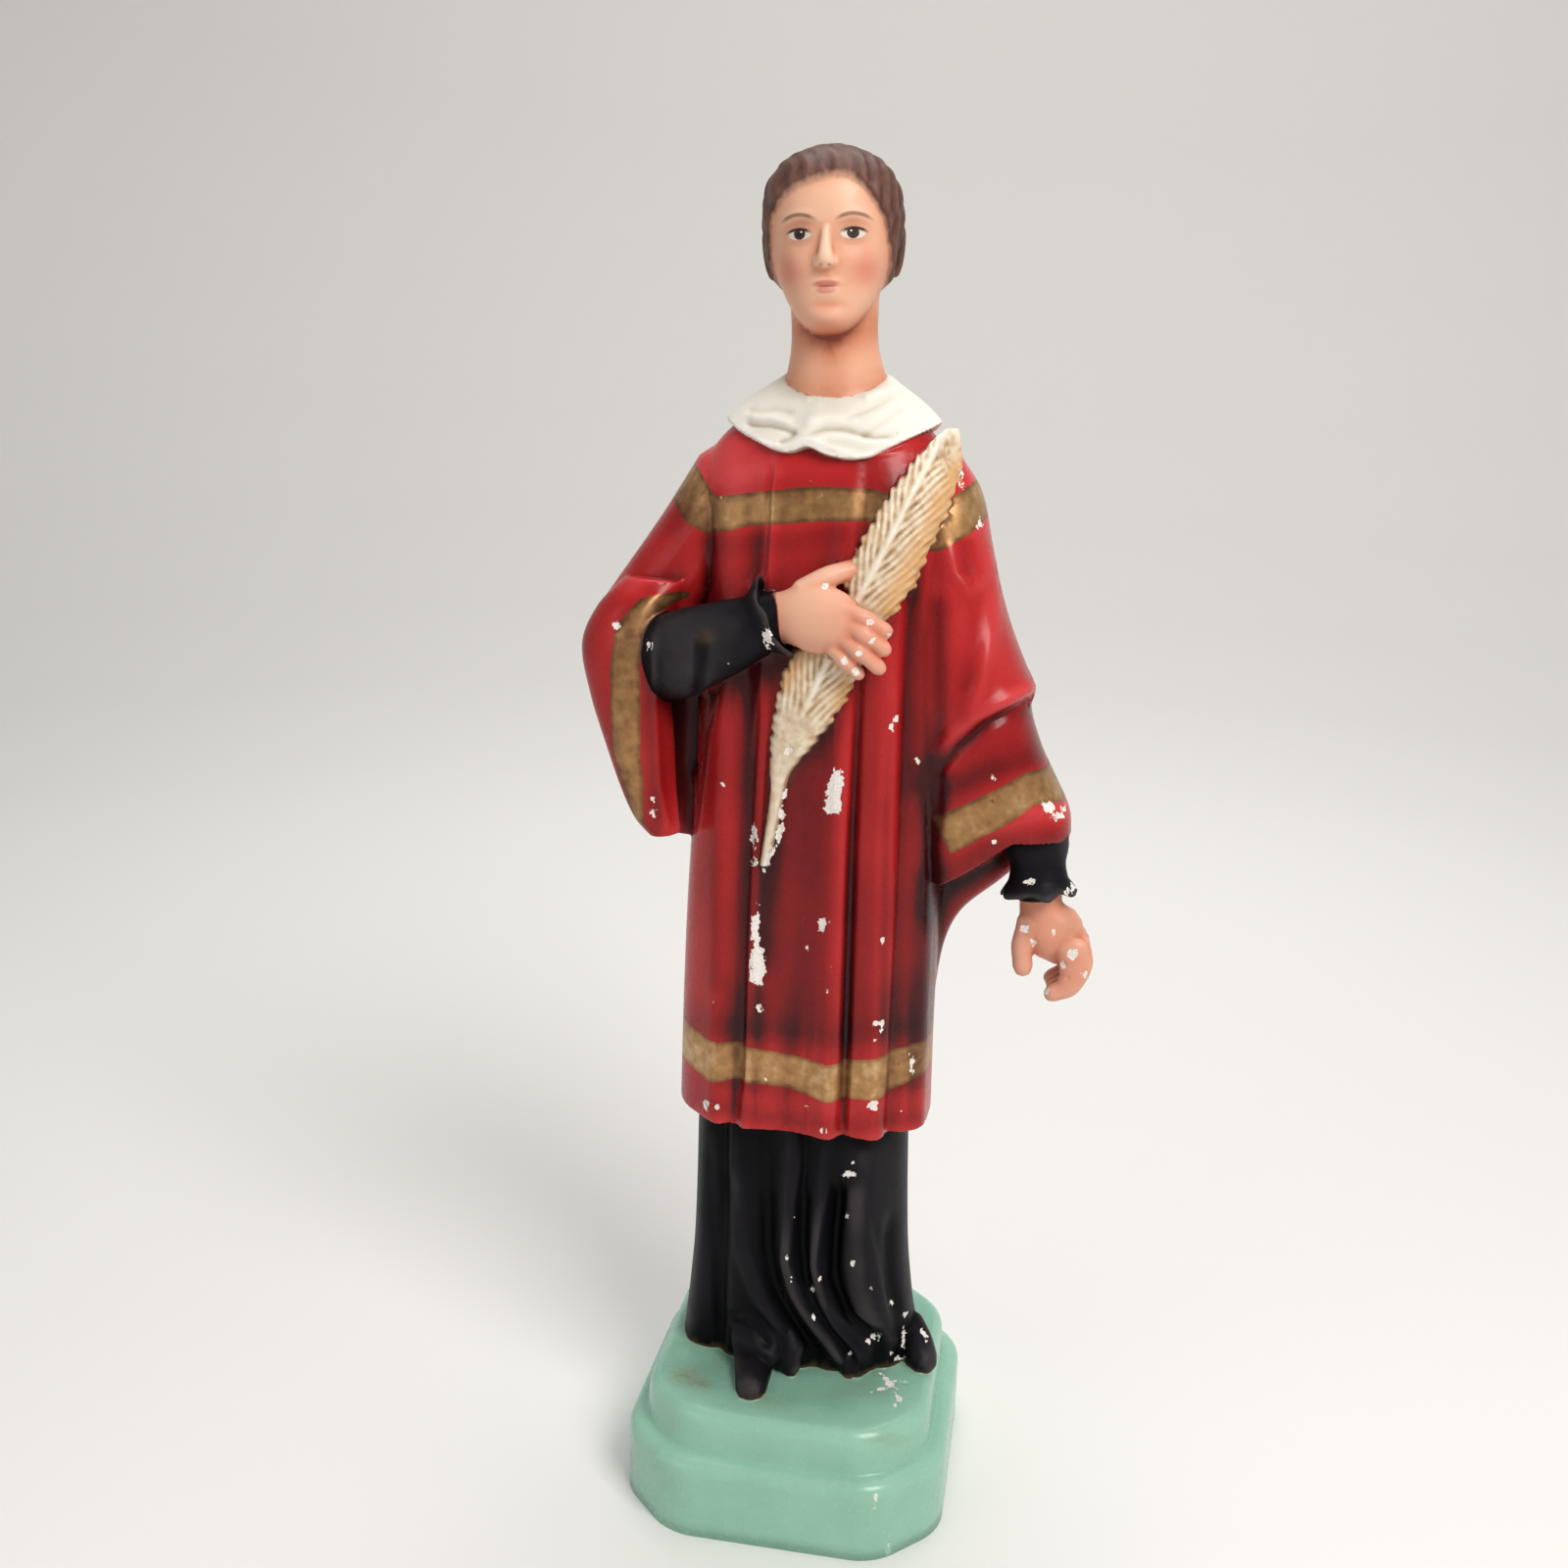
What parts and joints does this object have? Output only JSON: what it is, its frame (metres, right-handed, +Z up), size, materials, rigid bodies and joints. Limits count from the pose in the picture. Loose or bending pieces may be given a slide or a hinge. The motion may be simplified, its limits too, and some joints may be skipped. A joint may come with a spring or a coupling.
{
  "type": "chalkware saint statue",
  "caption": "Standing figure of a young deacon saint in dalmatic and cassock with a palm leaf, cast in one with its stepped plinth.",
  "frame": {"origin": "middle of the plinth's flat underside, on the surface it stands on", "axes": "+Z up through the figure, -Y the way the figure and the plinth's front face look, +X to the viewer's right"},
  "size_m": [0.1313, 0.089, 0.35],
  "materials": {
    "painted_plaster": "hand-painted gypsum plaster in satin red, black, gold, white, skin tones and pale green, with small chips down to the white plaster"
  },
  "bodies": {
    "root": {"statue": "painted_plaster"}
  },
  "joints": []
}
